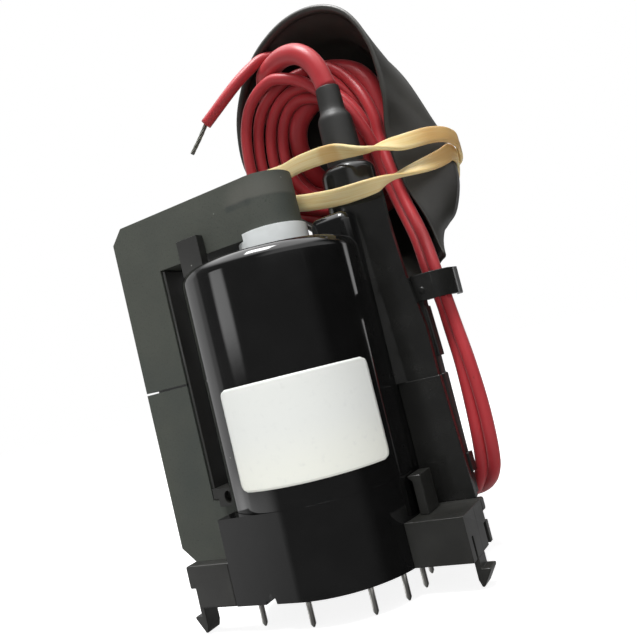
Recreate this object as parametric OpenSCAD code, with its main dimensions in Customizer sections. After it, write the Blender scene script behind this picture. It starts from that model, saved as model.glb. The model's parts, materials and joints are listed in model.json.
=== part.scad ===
// Line-output (flyback) transformer: two ferrite core halves through a round moulded case,
// a high-voltage tower with its lead and rubber anode cap, and a pinned base for a circuit board.
// Origin: on the board seating plane, on the axis of the core's round leg. +Z up, front is -Y.

/* [Ferrite core] */
// Height over both core halves
core_h = 70; // [60:1:80]
// Width of the outer leg
leg_w = 10.8; // [8:0.2:12]
// Diameter of the round leg
leg_d = 12.4; // [11:0.2:14]
// Depth of the yokes and of the outer leg, front to back
yoke_depth = 12.3; // [10:0.1:12.4]
// Thickness of each yoke
yoke_h = 11.4; // [9:0.2:13]
// From the round leg's axis to the outer face of the outer leg
core_reach = 34.8; // [32:0.2:40]
// Chamfer on the two outer corners of the core
core_chamfer = 2.9; // [1:0.1:4]
// Underside of the core above the board
core_lift = 4.9; // [4:0.1:7]
// Air gap between the halves
gap = 0.4; // [0.2:0.1:1]
// Length of the insulating spacer in the outer gap
spacer_l = 7.5; // [4:0.5:9]

/* [Bobbin] */
// Wall of the bobbin tube
bobbin_wall = 0.6; // [0.4:0.1:1]
// Clearance between the round leg and the bobbin tube
leg_clear = 0.1; // [0.05:0.05:0.3]
// How far the bobbin's collar rises past the underside of the upper yoke
collar_rise = 1.1; // [0.5:0.1:4]

/* [Case] */
// Diameter of the round case
case_d = 34.8; // [32:0.2:38]
// Case axis from the leg axis, along X
case_x = -1.3; // [-2:0.1:0]
// Case axis from the leg axis, along Y
case_y = -1.2; // [-2:0.1:0]
// Space between the case's flat top and the upper yoke
top_space = 3.8; // [1.5:0.1:5]
// Rounding of the case's top edge
case_round = 2.5; // [1:0.5:5]
// Clearance between the core and the mouldings around it
core_clear = 0.25; // [0.1:0.05:0.6]
// Right-hand side of the winding compartment, inside the case's right-hand side
shoulder_in = 0.5; // [0.2:0.1:2]
// Front of the winding compartment
shoulder_y = 1; // [0:0.2:3]
// Back of the winding compartment, inside the case's back
shoulder_back_in = 3.7; // [2.6:0.1:5]
// Height of the winding compartment above the case's top
shoulder_rise = 4.8; // [2:0.2:6]
// Rounding of the winding compartment
shoulder_round = 2; // [1:0.2:3]

// Tab that stands against the upper yoke, its left-hand side inside the case's
post_in = 1.9; // [1:0.1:3]
// Width of that tab
post_w = 5.1; // [3:0.1:6]
// Thickness of that tab
post_t = 2; // [1:0.1:2.6]
// How far that tab rises past the underside of the upper yoke
post_rise = 3.7; // [2:0.1:6]
// Wall in front of the lower yoke on the core's rest
cradle_wall = 1.2; // [0.8:0.1:4]
// How far the core's rest rises past the lower yoke
cradle_rise = 2.4; // [1:0.2:4]
// From the leg's inner face to the front wall of the lower core half's rest
cradle_in = 2.5; // [1:0.1:4]
// Diameter of the recess in the front of the core's rest
recess_d = 1.6; // [1:0.1:2]
// From the outer leg to that recess
recess_x = 4.9; // [3:0.1:5]
// Height of the drain hole
recess_h = 2.4; // [1.6:0.1:3]
// Thickness of the plastic wall beside the leg, inside the core's window
window_wall_t = 0.6; // [0.4:0.1:1]

/* [High-voltage tower] */
// Tower axis, inside the case's right-hand side
tower_in = 2; // [0.5:0.1:3]
// Tower axis, inside the case's back
tower_back_in = 5.6; // [4:0.1:7]
// Diameter at the tower's top
tower_top_d = 11; // [10:0.2:13]
// Diameter where the tower meets its wider foot
tower_low_d = 13; // [11:0.2:13]
// Height of the tower's top above the board
tower_top = 74.3; // [70:0.5:80]
// Rounding of the tower's top edge
tower_round = 2; // [1:0.2:3]
// Height of the tower's wider foot above the board
tower_step = 30.4; // [24:0.4:36]
// Front face of the wider foot
foot_front = 4.9; // [4:0.1:5.5]
// Wider foot's reach past the case's right-hand side
foot_out = 7.9; // [6:0.1:9]
// Depth of the wider foot, front to back
foot_depth = 1.5; // [1:0.1:4]
// How much wider the foot is at its bottom than at its top
foot_draft = 0.9; // [0:0.1:1.5]
// Front of the tower's cheek behind the front of the foot below it
cheek_back = 0.3; // [0.1:0.1:1]
// Cheek's right-hand side inside the foot's, where it stands on the foot
cheek_in = 0.3; // [0:0.1:1]
// How much narrower the cheek is at the back plate's top
cheek_draft = 1.3; // [0:0.1:2]
// How much narrower still the cheek is above that
cheek_taper = 0.6; // [0:0.1:1.5]
// Height of the cheek's top above the board
cheek_top = 67; // [50:0.5:70]
// Thickness of the back plate that carries the cable clip
plate_t = 2.5; // [1:0.1:3]
// Slit between the wider foot and the back plate
plate_slit = 1.2; // [0.3:0.1:1.6]
// Height of the back plate above the board
plate_top = 49.2; // [46:0.4:54]
// Width of the step at the back plate's right-hand side
plate_step = 0.4; // [0:0.1:1]
// Height of the upper latch
latch_h = 9.5; // [6:0.5:11]
// Upper latch below the back plate's top
latch_drop = 6; // [5:0.2:8]
// Overhang of the upper latch
latch_out = 0.6; // [0.4:0.1:2]
// Height of the lower latch
catch_h = 3.5; // [3:0.1:6]
// Lower latch above the side block
catch_rise = 4.1; // [3:0.1:8]
// Overhang of the lower latch
catch_out = 0.7; // [0.5:0.1:1.5]

/* [Base] */
// Height of the base's front step above the board
step_h = 15.2; // [12:0.2:18]
// Wall of the base
base_wall = 1.1; // [0.9:0.1:1.4]
// Left-hand side of the base's front step, inside the case's left-hand side
step_in = 4.9; // [3:0.1:6.5]
// Height of the low lip at the left and of the side block
ledge_h = 7.7; // [6:0.1:10]
// Length of the lip
lip_l = 9.7; // [8:0.1:11]
// Depth of the lip
lip_depth = 3.1; // [2:0.1:5]
// Overhang at the lip's left-hand end
lip_overhang = 1.15; // [0.8:0.05:1.5]
// Height of that overhang above the board
overhang_z = 3.6; // [2:0.1:5]
// Side block's reach past the case's right-hand side
block_out = 9.8; // [8.6:0.1:12]
// Front of the side block
block_front = -6.5; // [-8:0.1:-5]
// Depth of the side block, front to back
block_depth = 10.4; // [8:0.1:11.4]
// Thickness of the ribs behind the side block
rib_t = 1.3; // [0.6:0.1:1.6]
// Height of the upper rib above the seating plane
rib_z = 5.4; // [4.5:0.1:6]
// Depth of the side block's slots
slot_h = 3.8; // [2:0.1:5]
// Width of the side block's slots
slot_w = 0.7; // [0.5:0.1:1.5]
// First slot behind the side block's front
slot_front = 1.8; // [1.6:0.1:2.4]
// How much wider the slot at the back is
slot_extra = 0.6; // [0:0.1:1]
// Depth of the small tab above the rib
tab_depth = 2.2; // [1:0.1:2.3]
// How far the rear block's corner is cut back to the left
rear_cut = 5.7; // [3:0.1:7]
// Space between the case's right-hand side and the lead guide
guide_gap = 0.8; // [0.4:0.1:3]
// Front of the lead guide
guide_y = -2.5; // [-5:0.1:-2]
// Length of each side of the lead guide
guide_w = 1.7; // [1:0.1:3]
// Depth of the guide post, front to back
guide_l = 5.5; // [3:0.1:5.6]
// How far the guide post's nose sticks out at its top
guide_nose = 0.7; // [0.3:0.1:1]
// Height of the lead guide's top above the board
guide_top = 14.7; // [12:0.1:18]
// Level of the potting resin above the board
resin_z = 0.05; // [0.05:0.05:2]

/* [Snap hooks and pins] */
// Reach of the snap hooks below the board
hook_drop = 4.8; // [4:0.1:6]
// Thickness of a snap hook's leg
hook_t = 1; // [0.8:0.05:1.2]
// Width of a snap hook
hook_w = 3.6; // [2.5:0.1:4]
// Overhang of a snap hook's barb
hook_barb = 1.5; // [1:0.1:2]
// Barb's catch below the seating plane
hook_catch = 1.8; // [1.2:0.1:2.4]
// Tapered lead-in at a snap hook's end
hook_nose = 1.2; // [0.6:0.1:1.6]
// Left snap hook behind the front of the lip
hook_left_y = 1.2; // [1:0.1:1.6]
// Right snap hook behind the front of the side block
hook_right_y = 2.5; // [1.5:0.1:4]
// Diameter of the pins
pin_d = 1; // [0.8:0.1:1.2]
// Reach of the pins below the board
pin_drop = 5.2; // [3:0.1:6]
// Length of a pin's pointed tip
pin_tip = 0.6; // [0.3:0.1:1]
// Pins' axes in from the inner face of the base's wall
pin_in = 1.3; // [1.2:0.1:3]
// How far the pin circle's middle lies to the right of the case's axis
pin_shift_x = 0.5; // [0:0.1:1]
// How far the pin circle's middle lies behind the case's axis
pin_shift_y = 0.4; // [0:0.1:1]
// How far the first pin stands outside the pin circle
corner_pin_out = 2.6; // [0:0.1:2.8]

/* [Focus block] */
// Width of the focus block
focus_w = 25.5; // [20:0.5:28]
// Focus block's reach past the case's right-hand side
focus_out = 0.4; // [0:0.1:2]
// Front of the focus block, inside the case's back
focus_in = 0.6; // [0.2:0.1:1.4]
// Depth of the focus block
focus_depth = 10.9; // [9:0.5:13]
// Underside of the focus block above the board
focus_low = 4; // [2:0.5:6]
// Top of the focus block above the board
focus_top = 44; // [40:0.5:46]
// Rounding of the focus block
focus_round = 1.5; // [1:0.5:2]
// Diameter of the focus block's two knobs
knob_d = 9; // [7:0.5:11]
// Length of the knobs
knob_l = 5; // [3:0.5:7]
// Diameter of the knobs' bosses
boss_d = 11.5; // [11.2:0.1:13]
// Length of the knobs' bosses
boss_l = 1.5; // [1:0.5:3]

// Height of the focus knob's axis above the board
focus_knob_z = 34; // [32:0.5:36]
// Height of the screen knob's axis above the board
screen_knob_z = 18; // [12:0.5:20]
// Width of the knobs' screwdriver slots
driver_w = 1.2; // [0.8:0.1:1.6]
// Depth of the knobs' screwdriver slots
driver_h = 1; // [0.6:0.1:1.5]

/* [Lead fittings] */
// Diameter of the wide part of the tower's boot
boot_d = 7.2; // [6:0.2:8]
// Height of the boot's shoulder above the board
boot_wide_top = 84.4; // [80:0.4:88]
// Length of the boot's cone
boot_cone = 1.8; // [1:0.2:4]
// Diameter of the boot's narrow sleeve
sleeve_d = 5; // [4.8:0.1:6]
// Height of the sleeve's end above the board
sleeve_top = 90.6; // [88:0.2:94]
// Width of the cable clip
clip_w = 5; // [3:0.2:6]
// Thickness of the cable clip
clip_t = 1.2; // [0.8:0.1:1.6]
// How far the cable clip reaches past the tower's foot
clip_reach = 5.9; // [5.6:0.1:8]
// How far the cable clip reaches back
clip_depth = 8.6; // [6:0.2:10]
// How far the clip's pad reaches over the plate
clip_pad = 1.7; // [1:0.1:3]
// Thickness of the clip's pad
clip_pad_t = 0.5; // [0.3:0.1:1]
// Diameter of the pip on the clip's pad
pip_d = 1.1; // [0.6:0.1:1.6]
// Diameter of the high-voltage lead
hv_d = 4.2; // [3:0.1:4.6]
// Diameter of each low-voltage lead
lead_d = 2.4; // [2:0.1:2.6]
// Diameter of the bare stranded wire at the loose end
wire_d = 0.9; // [0.6:0.1:1.2]
// Depth of the hank of coiled leads
hank_depth = 8.6; // [6:0.2:9]
// Front of the hank
hank_front = 15; // [14.6:0.1:15.6]
// Hank's middle, along X
hank_x = 6; // [4:0.2:7]
// Middle of the hank's lower bend, above the board
hank_low = 78; // [77:0.2:80]
// Middle of the hank's upper bend, above the board
hank_high = 86; // [84:0.2:87]
// Radius round the outside of the hank's bends
hank_r = 14.6; // [12:0.2:14.8]
// Radius of the hole inside the hank's bends
hank_hole_r = 5.4; // [4.5:0.1:7]
// Diameter of the cap's metal contact
contact_d = 8; // [6:0.5:10]
// Thickness of the cap's metal contact
contact_t = 2; // [1:0.2:3]
// Wall of the rubber anode cap
cap_wall = 1.3; // [0.8:0.1:2]
// Width of the rubber band
band_w = 3; // [2:0.1:4]
// Thickness of the rubber band
band_t = 0.8; // [0.6:0.1:1]
// Thickness of the label
label_t = 0.15; // [0.1:0.05:0.2]
// Height of the label
label_h = 18; // [14:0.5:24]
// Lower edge of the label above the board
label_z = 19; // [17:0.5:30]
// Bearing of the label's left edge round the case's axis, in degrees
label_from = -112; // [-130:1:-100]
// Bearing of the label's right edge
label_to = -15; // [-35:1:-10]

/* [Hidden] */
$fn = 64;
eps = 0.01;
reach = 200;

case_r = case_d / 2;
case_right = case_x + case_r;
case_left = case_x - case_r;
case_back = case_y + case_r;
leg_r = leg_d / 2;
core_top = core_lift + core_h;
gap_low = core_lift + (core_h - gap) / 2;
gap_high = gap_low + gap;
bobbin_in = leg_r + leg_clear;
bobbin_out = bobbin_in + bobbin_wall;
upper_yoke_z = core_top - yoke_h;
lower_yoke_top = core_lift + yoke_h;
leg_inner = core_reach - leg_w;
step_front = case_y - case_r;
case_top = upper_yoke_z - top_space;
shoulder_x = case_right - shoulder_in;
shoulder_back = case_back - shoulder_back_in;
shoulder_top = case_top + shoulder_rise;
post_left = case_left + post_in;
tower_x = case_right - tower_in;
tower_y = case_back - tower_back_in;
foot_right = case_right + foot_out;
step_left = case_left + step_in;
lip_left = step_left - lip_l;
block_right = case_right + block_out;
guide_x = case_right + guide_gap;
pin_circle = case_r - base_wall - pin_in;
focus_right = case_right + focus_out;
focus_left = focus_right - focus_w;
focus_front = case_back - focus_in;
plate_y = foot_front + foot_depth + plate_slit;
block_back = block_front + block_depth;
boot_r = boot_d / 2;
yoke_side = yoke_depth / 2 + core_clear;
plate_right = foot_right - plate_step;
latch_top = plate_top - latch_drop;
catch_z = ledge_h + catch_rise;

black = [0.09, 0.09, 0.09];
ferrite = [0.27, 0.29, 0.28];
red = [0.72, 0.2, 0.2];

// Pins run round the case's axis from the front left to the back left, clear of the lower yoke.
pin_angles = [-129.5, -91, -48.5, -23, -1.6, 26, 52, 78, 104, 130];

// Routes of the leads, in millimetres.
hv_route = [[14.1, 10.6, 90.6], [13.6, 10.4, 93.5], [12.9, 10.3, 95.9], [11.5, 10.3, 98.3],
    [9.1, 10.6, 100.3], [5.6, 11.6, 101.4], [1.8, 13, 101.5], [-1.2, 15, 99.4]];
twin_route = [[16.7, 21.5, 6.6], [18.7, 20, 5.8], [21.6, 17.6, 6.7], [24, 15, 8.6], [25.6, 13, 10.7],
    [26.5, 12, 12.9], [27.2, 11.2, 17.6], [27.4, 11.2, 24], [27.2, 11.4, 31.5], [26.5, 12, 38.4],
    [26, 12.2, 44], [25, 12.3, 50], [23.9, 12.6, 57], [22, 13.2, 65], [21, 13.8, 72], [20.2, 15, 79]];
// Turn of the pair of leads at each point of their route, from side by side to one before the other.
twin_turn = [90, 84, 60, 24, 8, 0, -5, -15, -32, -41, -46, -30, -24, -22, -20, -20];
loose_route = [[5.4, 17.2, 102.4], [2.5, 16.2, 103.4], [-0.4, 15, 103.4], [-2.6, 12.2, 102.4],
    [-5, 9.6, 100.2], [-8.6, 8.4, 97.1], [-12, 8, 95], [-14.3, 8, 93.8]];
wire_route = [[-14.3, 8, 93.8], [-16.6, 8, 91.6], [-19.6, 8, 89]];

// Rim of the anode cap, clockwise from the top right, and the widest line of its body behind it.
cap_rim = [[20.7, 14, 105.5], [24.2, 14, 97.4], [24.8, 14.2, 86.8], [23.4, 14.6, 78], [24, 15, 67.8],
    [26.4, 15, 59.7], [27.5, 14.7, 54], [27.9, 14.5, 51.9], [26, 16.1, 51], [21.6, 18.5, 47.9],
    [12.4, 20, 50.4], [1, 18, 64], [-7, 16.5, 72.5], [-11.5, 15, 82.3], [-11.2, 14.8, 92.5], [-7.5, 14.5, 100.5],
    [-1.5, 14, 106.5], [6.5, 14, 110], [14.5, 14, 109.6]];
cap_waist = [[20, 22, 101.5], [25.5, 22.5, 92.5], [29, 23, 82], [31, 23, 75], [31.6, 22.5, 67.5],
    [29.8, 21.5, 61], [27.4, 21.4, 58.6], [25.4, 21.6, 57], [23.6, 23.6, 55], [20, 27, 52.8], [12, 30, 57],
    [2, 31, 66], [-6, 29, 74], [-9.5, 27, 84], [-9, 26, 93], [-5, 25, 100], [1, 24, 105], [8, 23.5, 107.5],
    [15, 22.5, 106]];
cap_apex = [13, 37, 80];
cap_middle = [9, 15, 81];
cap_core = [11, 25, 80];
contact_at = [11.6, 28, 80];

// The rubber band's two turns round the tower, the leads and the cap, in plan and height.
band_route = [[1, 8.6, 77.4], [7, 6.2, 77], [14.8, 4.6, 76], [22.6, 2.8, 73.4], [26.5, 9, 74.2],
    [30.2, 13.5, 75], [32.1, 17, 75.3], [33.2, 20.4, 75], [33.2, 24, 74.2], [30, 32, 73.2], [18, 39.8, 73],
    [5, 39, 74], [-7, 34, 73.4], [-13.4, 26, 72.6], [-12, 16, 72], [-4, 10.4, 71.4], [1.4, 8.2, 70.4],
    [7, 5.6, 68.8], [14, 3.6, 67.3], [22.6, 2.2, 66.6], [25.6, 8, 68.2], [29.4, 14.6, 70], [31.4, 18.4, 71.3],
    [32, 21.4, 72.4], [31.4, 27, 72], [27, 35, 69.6], [17, 38.2, 69], [4, 38, 71.6], [-7.4, 32.6, 76.4],
    [-12, 24, 79], [-10, 14, 78.6], [-4, 10, 78]];

function unit(v) = v / norm(v);
function wrap(i, n) = (i % n + n) % n;
// Point at share t between b and c of a smooth curve through a, b, c and d.
function through(a, b, c, d, t) = 0.5 * (2 * b + (c - a) * t + (2 * a - 5 * b + 4 * c - d) * t * t
    + (3 * b - a - 3 * c + d) * t * t * t);
function smooth_open(p, n) = [for (i = [0:len(p) - 2]) for (j = [0:n - 1])
    through(p[max(i - 1, 0)], p[i], p[i + 1], p[min(i + 2, len(p) - 1)], j / n), p[len(p) - 1]];
function smooth_loop(p, n) = [for (i = [0:len(p) - 1]) for (j = [0:n - 1])
    through(p[wrap(i - 1, len(p))], p[i], p[wrap(i + 1, len(p))], p[wrap(i + 2, len(p))], j / n)];
// The route of one lead of the pair, to one side of the middle line.
function pair_route(side) = [for (i = [0:len(twin_route) - 1])
    twin_route[i] + side * (lead_d / 2 + 0.02) * [cos(twin_turn[i]), sin(twin_turn[i]), 0]];
function heading(p, i, closed) = let(n = len(p))
    unit(closed ? p[wrap(i + 1, n)] - p[wrap(i - 1, n)] : p[min(i + 1, n - 1)] - p[max(i - 1, 0)]);

// Faces of a skin over `rings` rings of `sides` points each.
function skin_faces(rings, sides, closed) = [for (i = [0:rings - (closed ? 1 : 2)]) for (j = [0:sides - 1])
    let(a = i * sides, b = ((i + 1) % rings) * sides, k = (j + 1) % sides) each
    [[a + j, a + k, b + k], [a + j, b + k, b + j]]];

// Round cord of diameter d along a path, across which the direction `ref` never points.
module tube(path, d, sides, ref) {
    rings = [for (i = [0:len(path) - 1]) let(t = heading(path, i, false), u = unit(cross(ref, t)),
        v = cross(t, u))
        for (j = [0:sides - 1]) path[i] + d / 2 * (cos(360 * j / sides) * u + sin(360 * j / sides) * v)];
    last = (len(path) - 1) * sides;
    polyhedron(rings, concat(skin_faces(len(path), sides, false), [[for (j = [sides - 1:-1:0]) j]],
        [[for (j = [0:sides - 1]) last + j]]));
}

// Flat band of width w and thickness t, standing on edge along a closed path.
module ribbon(path, w, t) {
    rings = [for (i = [0:len(path) - 1]) let(out = unit(cross(heading(path, i, true), [0, 0, 1])),
        up = [0, 0, 1])
        each [path[i] - t / 2 * out - w / 2 * up, path[i] + t / 2 * out - w / 2 * up,
            path[i] + t / 2 * out + w / 2 * up, path[i] - t / 2 * out + w / 2 * up]];
    polyhedron(rings, skin_faces(len(path), 4, true));
}

// Box from corner a to corner b.
module block(a, b) translate(a) cube(b - a);

// Box from a to b with upright edges and top edges rounded to r.
module soft_box(a, b, r) {
    block([a[0] + r, a[1], a[2]], [b[0] - r, b[1], b[2] - r]);
    block([a[0], a[1] + r, a[2]], [b[0], b[1] - r, b[2] - r]);
    block([a[0] + r, a[1] + r, a[2]], [b[0] - r, b[1] - r, b[2]]);
    for (x = [a[0] + r, b[0] - r]) {
        for (y = [a[1] + r, b[1] - r]) {
            translate([x, y, a[2]]) cylinder(r = r, h = b[2] - r - a[2]);
            translate([x, y, b[2] - r]) sphere(r);
        }
        translate([x, a[1] + r, b[2] - r]) rotate([-90, 0, 0]) cylinder(r = r, h = b[1] - a[1] - 2 * r);
    }
    for (y = [a[1] + r, b[1] - r])
        translate([a[0] + r, y, b[2] - r]) rotate([0, 90, 0]) cylinder(r = r, h = b[0] - a[0] - 2 * r);
}

// Upright round post with a rounded top edge, from z to top.
module soft_post(r_low, r_top, z, top, round) {
    translate([0, 0, z]) cylinder(r1 = r_low, r2 = r_top, h = top - round - z);
    translate([0, 0, top - round]) rotate_extrude() translate([r_top - round, 0]) circle(round);
    translate([0, 0, top - round - eps]) cylinder(r = r_top - round, h = round + eps);
}

module at_case() translate([case_x, case_y, 0]) children();

module case_solid(z) at_case() soft_post(case_r, case_r, z, case_top, case_round);

// The space that a core half and its clearance take: leg, yoke and round leg, from z up to top.
module core_space(z, top) {
    block([-core_reach - core_clear, -yoke_side, z], [0, yoke_side, top]);
    translate([0, 0, z]) cylinder(r = leg_r + core_clear, h = top - z);
}

// One half, its yoke from z = 0 up and its legs standing to `h`.
module core_half(h) {
    difference() {
        union() {
            block([-core_reach, -yoke_depth / 2, 0], [0, yoke_depth / 2, yoke_h]);
            block([-core_reach, -yoke_depth / 2, 0], [-leg_inner, yoke_depth / 2, h]);
        }
        translate([-core_reach, 0, 0]) rotate([0, 45, 0])
            cube([core_chamfer * sqrt(2), reach, core_chamfer * sqrt(2)], center = true);
    }
    cylinder(r = leg_r, h = h);
}

module core_lower() color(ferrite) translate([0, 0, core_lift]) core_half(gap_low - core_lift);

module core_upper() color(ferrite) translate([0, 0, core_top]) mirror([0, 0, 1])
    core_half(core_top - gap_high);

module gap_spacer() color(black) block([-leg_inner - spacer_l, -yoke_depth / 2, gap_low],
    [-leg_inner, yoke_depth / 2, gap_high]);

module bobbin_tube() color("white") difference() {
    translate([0, 0, lower_yoke_top + core_clear])
        cylinder(r = bobbin_out, h = upper_yoke_z + collar_rise - lower_yoke_top - core_clear);
    cylinder(r = bobbin_in, h = reach);
    block([-reach, -yoke_depth / 2 - leg_clear, upper_yoke_z - core_clear], [0,
        yoke_depth / 2 + leg_clear, reach]);
}

module case_body() color(black) difference() {
    case_solid(step_h);
    cylinder(r = bobbin_out, h = reach);
    core_space(0, lower_yoke_top + core_clear);
}

module shoulder_box(z) soft_box([bobbin_out + core_clear, shoulder_y, z],
    [shoulder_x, shoulder_back, shoulder_top], shoulder_round);

module winding_compartment() color(black) difference() {
    shoulder_box(ledge_h);
    case_solid(-1);
}

// The tower above its wider foot, and the same post carried down inside the foot.
module tower_solid() translate([tower_x, tower_y, 0])
    soft_post(tower_low_d / 2, tower_top_d / 2, tower_step, tower_top, tower_round);
module tower_core(z) translate([tower_x, tower_y, z])
    cylinder(r = tower_y - foot_front, h = tower_step - z);

// Flat cheek beside the tower, from its foot up behind the rubber band.
module cheek() translate([0, foot_front + foot_depth, 0]) rotate([90, 0, 0]) linear_extrude(foot_depth
    - cheek_back) polygon([[tower_x, tower_step], [foot_right - cheek_in, tower_step],
        [foot_right - cheek_in, (tower_step + plate_top) / 2],
        [foot_right - cheek_in - cheek_draft, plate_top],
        [foot_right - cheek_in - cheek_draft - cheek_taper, (plate_top + cheek_top) / 2],
        [foot_right - cheek_in - cheek_draft - cheek_taper, cheek_top], [tower_x, cheek_top]]);

module hv_tower() color(black) difference() {
    union() {
        tower_solid();
        cheek();
    }
    case_solid(-1);
    shoulder_box(-1);
}

module tower_foot() color(black) difference() {
    union() {
        translate([0, foot_front + foot_depth, 0]) rotate([90, 0, 0]) linear_extrude(foot_depth)
            polygon([[shoulder_x - shoulder_round, ledge_h], [foot_right + foot_draft, ledge_h],
                [foot_right, tower_step], [shoulder_x - shoulder_round, tower_step]]);
        tower_core(ledge_h);
    }
    case_solid(-1);
    shoulder_box(-1);
}

module back_plate() color(black) difference() {
    union() {
        block([tower_x, plate_y, ledge_h], [foot_right, plate_y + plate_t, tower_step]);
        block([tower_x, plate_y, tower_step], [plate_right, plate_y + plate_t, plate_top]);
    }
    tower_core(ledge_h);
    tower_solid();
}

// Wedge that springs out downwards from the back plate's right-hand side.
module latch_upper() color(black) translate([plate_right, plate_y + plate_t, latch_top - latch_h])
    rotate([90, 0, 0]) linear_extrude(plate_t)
    polygon([[0, 0], [latch_out, 0], [latch_out / 2, latch_h], [0, latch_h]]);

module latch_lower() color(black)
    block([foot_right, plate_y, catch_z], [foot_right + catch_out, plate_y + plate_t, catch_z + catch_h]);

// Tab that stands behind the case's corner and keeps the upper yoke from turning.
module core_post() color(black) difference() {
    block([post_left, -yoke_side - post_t, case_top - 2 * case_round],
        [post_left + post_w, -yoke_side, upper_yoke_z + post_rise]);
    case_solid(-1);
}

// Rest on the lower yoke, with a front wall that has a drain hole.
module core_cradle() color(black) difference() {
    union() {
        block([-leg_inner + core_clear, -yoke_depth / 2, lower_yoke_top + core_clear],
            [case_x - case_r / 2, yoke_depth / 2, lower_yoke_top + cradle_rise]);
        block([-leg_inner + cradle_in, -yoke_side - cradle_wall, step_h],
            [case_x - case_r / 2, -yoke_depth / 2, lower_yoke_top + cradle_rise]);
    }
    case_solid(-1);
    core_space(0, lower_yoke_top + core_clear);
    translate([recess_x - leg_inner, -yoke_side, (step_h + lower_yoke_top + cradle_rise) / 2])
        scale([recess_d, 1, recess_h]) rotate([90, 0, 0]) cylinder(d = 1, h = 2 * cradle_wall);
}

// Plastic wall beside the outer leg, between the rest and the upper yoke.
module window_wall() color(black) block(
    [-leg_inner + core_clear, -yoke_depth / 2 + core_clear, lower_yoke_top + cradle_rise],
    [-leg_inner + core_clear + window_wall_t, yoke_depth / 2 - core_clear, upper_yoke_z - core_clear]);

module base_skirt() color(black) difference() {
    union() {
        at_case() cylinder(r = case_r, h = step_h);
        block([step_left, step_front, 0], [case_x, case_y, step_h]);
    }
    at_case() translate([0, 0, -1]) cylinder(r = case_r - base_wall, h = reach);
    block([step_left + base_wall, step_front + base_wall, -1], [case_x, case_y, step_h - base_wall]);
    block([-reach, -yoke_side, -1], [0, yoke_side, reach]);
}

module base_lip() color(black) {
    block([lip_left + lip_overhang, step_front, 0], [step_left, step_front + lip_depth, ledge_h]);
    block([lip_left, step_front, overhang_z], [lip_left + lip_overhang, step_front + lip_depth, ledge_h]);
}

module side_block() color(black) difference() {
    union() {
        block([0, block_front, 0], [block_right, block_back, ledge_h]);
        block([foot_right + foot_draft, block_back, 0], [block_right, block_back + rib_t, slot_h]);
    }
    at_case() translate([0, 0, -1]) cylinder(r = case_r, h = reach);
    block([case_x + case_r + base_wall, block_front + base_wall, -1],
        [block_right - base_wall, block_back - base_wall, ledge_h - base_wall]);
    block([block_right - 2 * base_wall, block_front + slot_front, -1],
        [reach, block_front + slot_front + slot_w, slot_h]);
    block([block_right - 2 * base_wall, block_back - slot_w - slot_extra, -1], [reach, block_back, slot_h]);
}

// Small post on the side block that guides the leads, with a nose at its top.
module block_post() color(black) translate([guide_x, guide_y + guide_l, 0]) rotate([90, 0, 0])
    linear_extrude(guide_l) polygon([[0, ledge_h], [guide_w, ledge_h], [guide_w, guide_top],
        [-guide_nose, guide_top], [-guide_nose, guide_top - guide_nose / 2],
        [0, guide_top - 1.5 * guide_nose]]);

// Box at the back under the tower's foot, its right-hand corner cut off on the slant.
module rear_box(z) translate([0, 0, z]) linear_extrude(ledge_h - z) polygon([[0, block_back],
    [foot_right + foot_draft, block_back], [foot_right + foot_draft, block_back + tab_depth],
    [foot_right + foot_draft - rear_cut, tower_y + tower_low_d / 2], [0, tower_y + tower_low_d / 2]]);

module rear_block() color(black) difference() {
    union() {
        rear_box(0);
        block([foot_right + foot_draft, block_back, rib_z], [block_right, block_back + tab_depth, ledge_h]);
    }
    at_case() translate([0, 0, -1]) cylinder(r = case_r, h = reach);
}

module cable_clip() color(black) {
    x = foot_right + clip_reach;
    y = plate_y;
    r = clip_reach;
    d = clip_depth;
    pad = y - clip_pad_t;
    translate([0, 0, plate_top - clip_w]) linear_extrude(clip_w) polygon([
        [foot_right - clip_pad, pad], [x - 0.61 * r, pad], [x - 0.14 * r, y + 0.2 * d], [x, y + 0.58 * d],
        [x - 0.19 * r, y + d], [x - 0.19 * r - clip_t, y + d], [x - clip_t, y + 0.6 * d],
        [x - 0.14 * r - clip_t, y + 0.2 * d + clip_t], [x - 0.61 * r, y + clip_t],
        [plate_right, y + clip_t], [plate_right, y], [foot_right - clip_pad, y]]);
    translate([foot_right, pad, plate_top - 0.6 * clip_w]) rotate([90, 0, 0]) cylinder(d = pip_d,
        h = pip_d / 4);
}

// Snap hook whose leg runs up from -hook_drop to top, and whose barb points to +X.
module snap_hook(top) rotate([90, 0, 0]) linear_extrude(hook_w) polygon([[0, top], [-hook_t, top],
    [-hook_t, hook_nose - hook_drop], [-0.6 * hook_t, -hook_drop], [-0.2 * hook_t, -hook_drop],
    [hook_barb, -hook_catch - hook_nose / 3], [hook_barb, -hook_catch], [0, -hook_catch]]);

module hook_left() color(black) translate([lip_left + lip_overhang - hook_t, step_front + hook_left_y, 0])
    mirror([1, 0, 0]) translate([0, hook_w, 0]) snap_hook(overhang_z);

module hook_right() color(black) translate([block_right, block_front + hook_right_y + hook_w, 0])
    snap_hook(0);

module resin_fill() color([0.05, 0.05, 0.06]) difference() {
    union() {
        at_case() translate([0, 0, resin_z]) cylinder(r = case_r - base_wall, h = step_h - resin_z);
        block([step_left + base_wall, step_front + base_wall, resin_z], [case_x, case_y,
            step_h - base_wall]);
    }
    core_space(-1, reach);
}

module pin(a, out) color("silver") {
    at_case() translate([pin_shift_x, pin_shift_y, 0]) rotate(a) translate([pin_circle + out, 0, 0]) {
        translate([0, 0, pin_tip - pin_drop]) cylinder(d = pin_d, h = resin_z + pin_drop - pin_tip);
        translate([0, 0, -pin_drop]) cylinder(d1 = pin_d / 3, d2 = pin_d, h = pin_tip);
    }
}

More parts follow.
